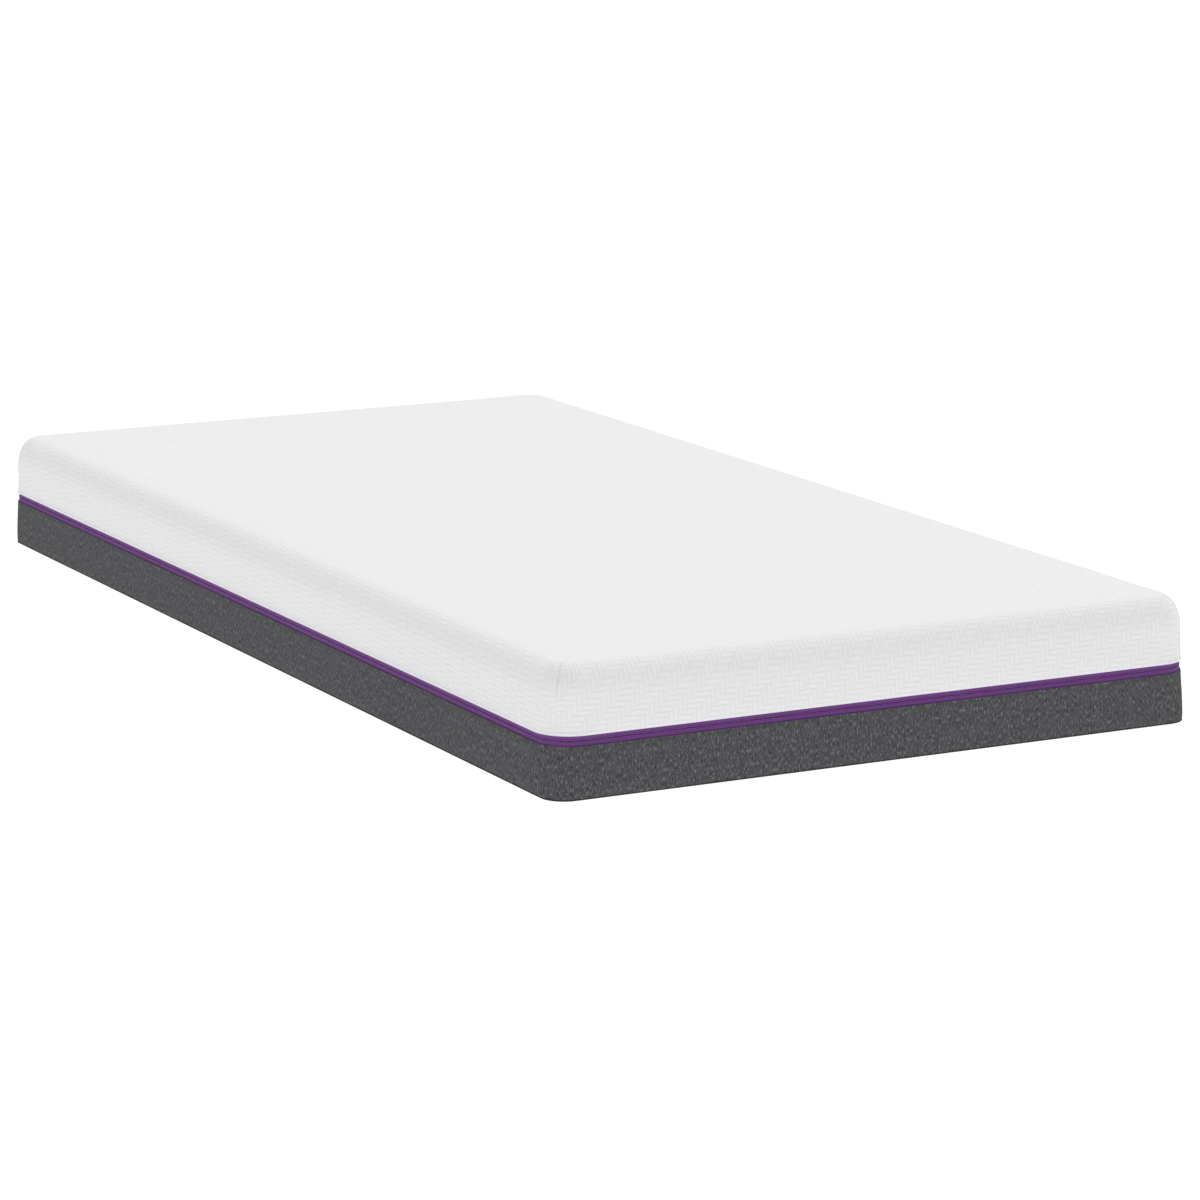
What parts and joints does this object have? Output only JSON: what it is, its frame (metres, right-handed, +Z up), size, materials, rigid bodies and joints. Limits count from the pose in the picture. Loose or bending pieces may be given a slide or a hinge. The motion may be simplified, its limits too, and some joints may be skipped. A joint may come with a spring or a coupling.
{
  "type": "memory foam mattress",
  "caption": "Rectangular foam mattress with soft rounded edges in a zip-off cover with a pale knit top, a dark border and a contrasting zip band.",
  "frame": {"origin": "centre of the underside, on the surface the mattress lies on", "axes": "+X across the bed to the right, +Y along the bed to the head end where the zip slider is, +Z up through the sleeping surface"},
  "size_m": [1, 2.0027, 0.18],
  "materials": {
    "white_knit": "white jacquard knit ticking, small raised ribs in a basket pattern",
    "grey_melange": "dark grey melange knit with short lighter and darker flecks",
    "underside_nonwoven": "dark needled underside fabric with a black seam",
    "zip_tape": "purple woven zip tape, slightly shiny",
    "zip_coil": "purple nylon coil",
    "zip_enamel": "purple enamelled zinc",
    "memory_foam": "cream open-cell viscoelastic foam",
    "transition_foam": "pale blue open-cell foam",
    "support_foam": "light grey open-cell foam",
    "satin_label": "blank white satin ribbon"
  },
  "bodies": {
    "base_cover": {"base_panel": "underside_nonwoven", "base_border": "grey_melange", "zip_lower_tape": "zip_tape", "zip_lower_coil": "zip_coil", "zip_retainer_box": "zip_enamel", "zip_end_patch": "zip_tape", "care_label": "satin_label"},
    "foam_core": {"memory_foam_layer": "memory_foam", "transition_foam_layer": "transition_foam", "support_foam_layer": "support_foam"},
    "top_cover": {"top_cover_panel": "white_knit", "zip_upper_tape": "zip_tape", "zip_upper_coil": "zip_coil", "zip_insertion_pin": "zip_enamel", "zip_end_stop": "zip_enamel", "corner_seam_foot_left": "white_knit", "corner_seam_foot_right": "white_knit", "corner_seam_head_left": "white_knit", "corner_seam_head_right": "white_knit"},
    "zip_slider": {"zip_slider_body": "zip_enamel"},
    "zip_pull": {"zip_pull_tab": "zip_enamel"}
  },
  "joints": [
    {"name": "foam_lift", "type": "slide", "parent": "base_cover", "child": "foam_core", "axis": [0, 0, 1], "range_m": [0, 0.25]},
    {"name": "top_cover_lift", "type": "slide", "parent": "foam_core", "child": "top_cover", "axis": [0, 0, 1], "range_m": [0, 0.25]},
    {"name": "zip_run", "type": "slide", "parent": "base_cover", "child": "zip_slider", "axis": [-1, 0, 0], "range_m": [0, 0.76]},
    {"name": "pull_tab_swing", "type": "hinge", "parent": "zip_slider", "child": "zip_pull", "pos_m": [0.38, 1.0005, 0.0795], "axis": [0, 0, -1], "range_deg": [0, 170]}
  ]
}
